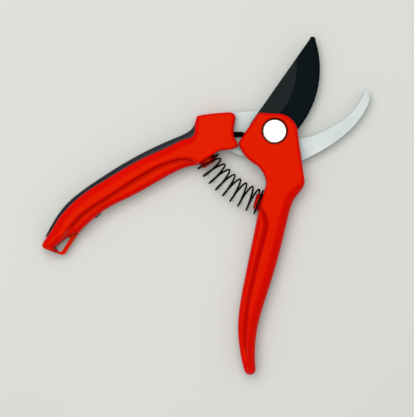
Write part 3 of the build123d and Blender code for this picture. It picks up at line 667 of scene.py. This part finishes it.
# The valley between each grip's crown and the lip along its inner edge, from its head to its butt.
blade_valley = curve(
    [
        (-12.0, -39.5),
        (-8.5, -44.0),
        (-5.6, -48.6),
        (-4.2, -55.0),
        (-5.4, -60.6),
        (-9.2, -75.2),
        (-13.1, -91.0),
        (-15.8, -106.8),
        (-16.7, -122.4),
        (-15.4, -138.1),
        (-15.0, -146.0),
    ]
)
hook_valley = curve(
    [
        (-42.0, -20.5),
        (-46.5, -17.8),
        (-51.4, -16.2),
        (-58.7, -17.0),
        (-69.1, -20.9),
        (-82.6, -28.7),
        (-96.0, -37.4),
        (-109.4, -46.1),
        (-116.2, -52.2),
        (-121.5, -58.9),
        (-126.0, -68.0),
        (-128.0, -78.0),
    ]
)


LIP_ROUND = 2.5, 2.6  # how wide and how deep an edge's rounding is, on the lip
HEAD_ROUND = 1.45, 1.5  # and on a head
SEAT_ROUND = 0.8  # and where the spring sits
INLAY_EDGE = 1.6, 1.0  # and on the palm inlay


def shoulder(across, crown, zones, seat):
    """How wide and how deep the edge's rounding is, on the crown, the lip, the zones and the seat."""
    sizes = []
    for k in range(2):
        size = np.where(across > 0, LIP_ROUND[k], crown[k])
        for share, zone in zones:
            size = size * (1 - share) + zone[k] * share
        sizes.append(np.where(seat, SEAT_ROUND, size))
    return sizes


def blade_shoulder(points, across):
    """The rounding of the blade side's grip."""
    x, y = points.T
    head = ease((y + 38.0) / 10.0)
    butt = ease((-134.0 - y) / 7.0)
    seat = (x < -3.5) & (y > -50.5) & (y < -23.0)
    return shoulder(across, (5.0, 4.2), [(head, HEAD_ROUND), (butt, (3.0, 3.4))], seat)


def hook_shoulder(points, across):
    """The rounding of the hook side's grip."""
    x, y = points.T
    head = ease((x + 52.0) / 8.0)
    butt = ease((-0.45 * x - 0.89 * y - 112.5) / 6.5)  # across the slanting end
    seat = (x > -47.0) & (y < -9.0)
    return shoulder(across, (5.2, 3.2), [(head, HEAD_ROUND), (butt, (3.2, 3.4))], seat)


def inlay_shoulder(points, across):
    return [np.full(len(points), size) for size in INLAY_EDGE]


COVER_HOLLOW = 22.8  # the blade side's head is hollow over its blade, to this distance from the pivot
LOCK_Y = -1.76  # the lock bar's middle line
LOCK_SLOT = -42.8, -20.0, 1.82  # the hollow over the bar: its ends and half its width
CLICK_SLOT = -35.6, 5.1, 3.1, 1.3  # over the click spring: middle, half length, offset, half width
PARTING = 0.08  # half the fine line between the two half shells
OVER_BLADE = BLADE_TOP + 0.05
AT_PARTING = MIDDLE + PARTING


def cover_low(points):
    """The blade side's upper shell is hollow over its blade."""
    return np.where(np.hypot(*points.T) < COVER_HOLLOW, OVER_BLADE, AT_PARTING)


def level_low(points):
    return np.full(len(points), AT_PARTING)


def hook_low(points):
    """The hook side's upper shell is hollow over the lock bar and its click spring."""
    x, y = points.T
    start, end, half_width = LOCK_SLOT
    bar = (x > start) & (x < end) & (np.abs(y - LOCK_Y) < half_width)
    middle, half_length, offset, half_width = CLICK_SLOT
    click = (np.abs(x - middle) < half_length) & (np.abs(y - LOCK_Y - offset) < half_width)
    return np.where(bar | click, OVER_BLADE, AT_PARTING)


UPPER_CUT, INLAY_CUT, LOWER_CUT = 14.7, 8.0, 1.7  # heights where the CAD's outlines are read


def outline_of(node, height):
    return resample(section_loops(nodes[node], height)[0], STEP)


def settle(obj, node):
    """Puts a piece in a CAD node's stead, with that node's material and body."""
    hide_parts(node)
    finish_piece(obj, SLOTS[node], SHELL_SHARP)
    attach(obj, BODY[node])


def roundness(loop):
    """1 for a circle, less for any other outline."""
    around = np.hypot(*(np.roll(loop, -1, 0) - loop).T).sum()
    return 4 * math.pi * abs(area(loop)) / around**2


ROUND = 0.97  # an outline rounder than this is a circle
WELL_SIDES = 32
SMALLEST_OPENING = 15.0  # square millimetres


def inner_loops(node):
    """The holes in a lower shell: round wells over the screw heads, and any other opening."""
    loops = section_loops(nodes[node], LOWER_CUT)[1:]
    wells = [loop for loop in loops if roundness(loop) > ROUND]
    others = [loop for loop in loops if roundness(loop) <= ROUND]
    others = [loop for loop in others if abs(area(loop)) > SMALLEST_OPENING]
    circles = [circle(*loop.mean(0), math.sqrt(abs(area(loop)) / math.pi), WELL_SIDES) for loop in wells]
    return circles, others


# Where the red shell draws back from the inlay, under the head and at the butt: a middle, a shift, a reach.
TUCKS = [((-49.0, -1.2), (1.1, -1.7), 3.0), ((-131.5, -57.5), (1.0, -0.55), 4.5)]
INLAY_TUCK = 1.4  # the inlay's hidden edge draws back this much more


def tuck(points, more=1.0):
    moved = points.copy()
    for centre, shift, reach in TUCKS:
        away = ((points - np.array(centre)) ** 2).sum(1)
        moved += np.exp(-away / (2 * (reach * more) ** 2))[:, None] * np.array(shift) * more
    return moved


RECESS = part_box("pivot_cap")[1].x / MM + 1.25  # the radius of the round opening over the cap
RECESS_SIDES = 96
RECESS_EDGE = 0.25
RECESS_FLOOR = 12.4
RECESS_OVERLAP = 0.2  # how far the recess's floor reaches under the shell
BUSH_CLEAR = 5.06
LOOP_STEP = 0.6  # spacing round the lanyard's opening

recess = circle(0, 0, RECESS, RECESS_SIDES)
blade_edge = outline_of("blade_handle_upper_shell", UPPER_CUT)
cover_edge = [(recess, RECESS_EDGE)]
blade_upper = Shell(blade_edge, [recess], blade_shoulder, blade_valley, -1, cover_low, cover_edge)

blade_edge = outline_of("blade_handle_lower_shell", LOWER_CUT)
wells, _ = inner_loops("blade_handle_lower_shell")
blade_lower = Shell(blade_edge, wells, blade_shoulder, blade_valley, -1, level_low)

grip_edge = outline_of("hook_handle_upper_shell", UPPER_CUT)
hook_upper = Shell(tuck(grip_edge), [], hook_shoulder, hook_valley, 1, hook_low)

lower_edge = tuck(outline_of("hook_handle_lower_shell", LOWER_CUT))
wells, openings = inner_loops("hook_handle_lower_shell")
lanyard = [resample(loop, LOOP_STEP) for loop in openings]
hook_lower = Shell(lower_edge, wells + lanyard, hook_shoulder, hook_valley, 1, level_low)


def ring_solid(name, inner, outer, low, high, count):
    """A flat ring round the pivot axis."""
    verts, faces = [], []
    for i in range(count):
        c, s = math.cos(2 * math.pi * i / count), math.sin(2 * math.pi * i / count)
        for r, z in ((inner, low), (outer, low), (outer, high), (inner, high)):
            verts.append(Vector((r * c * MM, r * s * MM, z * MM)))
    for i in range(count):
        j = (i + 1) % count
        for k in range(4):
            m = (k + 1) % 4
            faces.append([4 * i + k, 4 * j + k, 4 * j + m, 4 * i + m])
    return build(name, verts, faces)


settle(blade_upper.mesh("blade_grip_top", False), "blade_handle_upper_shell")
settle(blade_lower.mesh("blade_grip_under", True), "blade_handle_lower_shell")
settle(hook_upper.mesh("hook_grip_top", False), "hook_handle_upper_shell")
settle(hook_lower.mesh("hook_grip_under", True), "hook_handle_lower_shell")
recess_floor = ring_solid(
    "pivot_recess_floor", BUSH_CLEAR, RECESS + RECESS_OVERLAP, OVER_BLADE, RECESS_FLOOR, RECESS_SIDES
)
finish_piece(recess_floor, "red_plastic", FLOOR_SHARP)
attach(recess_floor, "blade_side")


# ------------------------------------------------------------- the palm inlay
INLAY_TOP = 13.2
INLAY_ROUND = 2.9  # how far in from its outer edge the inlay is rounded
INLAY_DROP = 3.2
inlay_edge = outline_of("palm_inlay", INLAY_CUT)
covered = inside(inlay_edge, grip_edge)
shown = inlay_edge[~covered]
inlay_edge = np.where(covered[:, None], tuck(inlay_edge, INLAY_TUCK), inlay_edge)


class Inlay(Shell):
    """The rubber band let into the back of the hook side's grip, full inside and thin at its edge."""

    def height(self, points):
        away = np.sqrt(((points[:, None, :] - shown[None, :, :]) ** 2).sum(2)).min(1)
        return INLAY_TOP - INLAY_DROP * quarter(np.clip(1 - away / INLAY_ROUND, 0, 1))


inlay = Inlay(inlay_edge, [], inlay_shoulder, None, 1, level_low)
for side, flip in (("top", False), ("under", True)):
    settle(inlay.mesh("palm_inlay_" + side, flip), "palm_inlay")


# ---------------------------------------------------------- the return spring
SPRING_START = -39.75, -16.1, 8.2  # the middle of each seat
SPRING_END = -7.85, -41.75, 8.2
SPRING_BEND = math.radians(42.7)
COIL_RADIUS, WIRE_RADIUS = 7.03, 0.55
WIRE_SIDES = 12
TURNS, TURN_SIDES = 9.2, 28
DEAD_TURNS, DEAD_PITCH = 0.6, 1.15  # the closed turns at each end
END_CLEAR = 1.1  # from each seat to the wire's middle
CLOSED_CLEAR = 0.75  # the same with the tool closed
FIRST_ANGLE = math.radians(116.0)  # of the wire's first end, from the outside of the bend
LEAN = 1.0  # how far the upper half of each turn leans back


def spring_path(start, end):
    """Points along the wire, and each one's share of the joint's turning."""
    chord = end - start
    bend_radius = chord.length / 2 / math.sin(SPRING_BEND / 2)
    length = bend_radius * SPRING_BEND - 2 * END_CLEAR * MM
    dead_pitch = DEAD_PITCH * MM
    pitch = (length - 2 * DEAD_TURNS * dead_pitch) / (TURNS - 2 * DEAD_TURNS)
    inward = Matrix.Rotation(math.pi / 2 - SPRING_BEND / 2, 3, "Z") @ chord.normalized()
    centre = start + inward * bend_radius
    first = math.atan2(start.y, start.x)
    whole = (math.atan2(end.y, end.x) - first) % (2 * math.pi)
    end_gap = CLOSED_CLEAR * MM / start.xy.length
    points, weights = [], []
    steps = round(TURNS * TURN_SIDES)
    for step in range(steps + 1):
        turn = TURNS * step / steps
        angle = FIRST_ANGLE + 2 * math.pi * turn
        dead = min(turn, DEAD_TURNS) + max(0.0, turn - TURNS + DEAD_TURNS)
        opened = min(1.0, min(turn, TURNS - turn) / (2 * DEAD_TURNS))
        travelled = END_CLEAR * MM + dead * dead_pitch + (turn - dead) * pitch
        travelled -= LEAN * MM * opened * math.sin(angle)
        spine = centre + Matrix.Rotation(travelled / bend_radius, 3, "Z") @ (inward * -bend_radius)
        radial = (spine - centre).normalized()
        spoke = radial * math.cos(angle) + Vector((0, 0, 1)) * math.sin(angle)
        points.append(spine + spoke * COIL_RADIUS * MM)
        opened_at = (math.atan2(spine.y, spine.x) - first) % (2 * math.pi)
        closed_at = end_gap + (whole - CLOSING - 2 * end_gap) * turn / TURNS
        weights.append(min(1.0, max(0.0, (opened_at - closed_at) / CLOSING)))
    return points, weights


def wire(name, points, sides, radius):
    """A closed tube along a path."""
    last = len(points) - 1
    verts, faces = [], []
    side = Vector((0, 0, 1))
    for i, point in enumerate(points):
        ahead = points[min(i + 1, last)] - points[max(i - 1, 0)]
        ahead.normalize()
        side = (side - ahead * side.dot(ahead)).normalized()
        other = ahead.cross(side)
        for k in range(sides):
            a = 2 * math.pi * k / sides
            verts.append(point + (side * math.cos(a) + other * math.sin(a)) * radius)
    for i in range(last):
        for k in range(sides):
            m = (k + 1) % sides
            faces.append([i * sides + k, i * sides + m, (i + 1) * sides + m, (i + 1) * sides + k])
    faces.append(list(range(sides))[::-1])
    faces.append([last * sides + k for k in range(sides)])
    return build(name, verts, faces)


spring_start, spring_end = place(*SPRING_START), place(*SPRING_END)
path, weights = spring_path(spring_start, spring_end)
spring = wire("spring_wire", path, WIRE_SIDES, WIRE_RADIUS * MM)
shares = np.repeat(np.array(weights, np.float32), WIRE_SIDES)
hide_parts("return_spring")
finish_piece(spring, "black_spring_steel", WIRE_SHARP)
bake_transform(spring)
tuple(spring_start)
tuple(spring_end)


# ------------------------------------------------------- floor, light, camera
FLOOR_HALF, FLOOR_LEVEL = 3.0, -0.00005  # metres
square = [(-1, -1), (1, -1), (1, 1), (-1, 1)]
corners = [Vector((x * FLOOR_HALF, y * FLOOR_HALF, FLOOR_LEVEL)) for x, y in square]
floor = build("floor", corners, [(0, 1, 2, 3)])
floor.data.materials.append(material(floor_paint))

target = place(-39.47, -45.11, 11.0)  # what the camera and the light look at
SOFTBOX_SIZE, SOFTBOX_POWER = 0.9, 8.7  # metres and watts
SOFTBOX_PLACE = -170, 230, 1150  # from the target
lamp = bpy.data.lights.new("overhead", "AREA")
lamp.shape = "SQUARE"
lamp.size = SOFTBOX_SIZE
lamp.energy = SOFTBOX_POWER
softbox = bpy.data.objects.new("overhead", lamp)
scene.collection.objects.link(softbox)
softbox.location = target + place(*SOFTBOX_PLACE)
softbox.rotation_euler = (target - softbox.location).to_track_quat("-Z", "Y").to_euler()

SKY_LOW, SKY_HIGH = 0.14, 0.65  # the studio's brightness at and below the horizon, and straight up
world = bpy.data.worlds.new("studio")
scene.world = world
world.use_nodes = True
sky = world.node_tree.nodes["Background"]
sky.inputs["Color"].default_value = (1.0, 1.0, 1.0, 1.0)
direction = world.node_tree.nodes.new("ShaderNodeTexCoord")
split = world.node_tree.nodes.new("ShaderNodeSeparateXYZ")
world.node_tree.links.new(direction.outputs["Generated"], split.inputs["Vector"])
strength = spread(world.node_tree, split.outputs["Z"], SKY_LOW, SKY_HIGH)
world.node_tree.links.new(strength, sky.inputs["Strength"])

VIEW_WIDTH = 0.2422  # what the camera sees at the target's height, in metres
lens = bpy.data.cameras.new("camera")
lens.sensor_fit = "HORIZONTAL"
lens.sensor_width = 36.0
lens.lens = 150.0
lens.dof.use_dof = False
lens.clip_start = 0.01
lens.clip_end = 20.0
camera = bpy.data.objects.new("camera", lens)
scene.collection.objects.link(camera)
camera.location = target + Vector((0, 0, VIEW_WIDTH * lens.lens / lens.sensor_width))
camera.rotation_euler = (0.0, 0.0, TURN)
scene.camera = camera
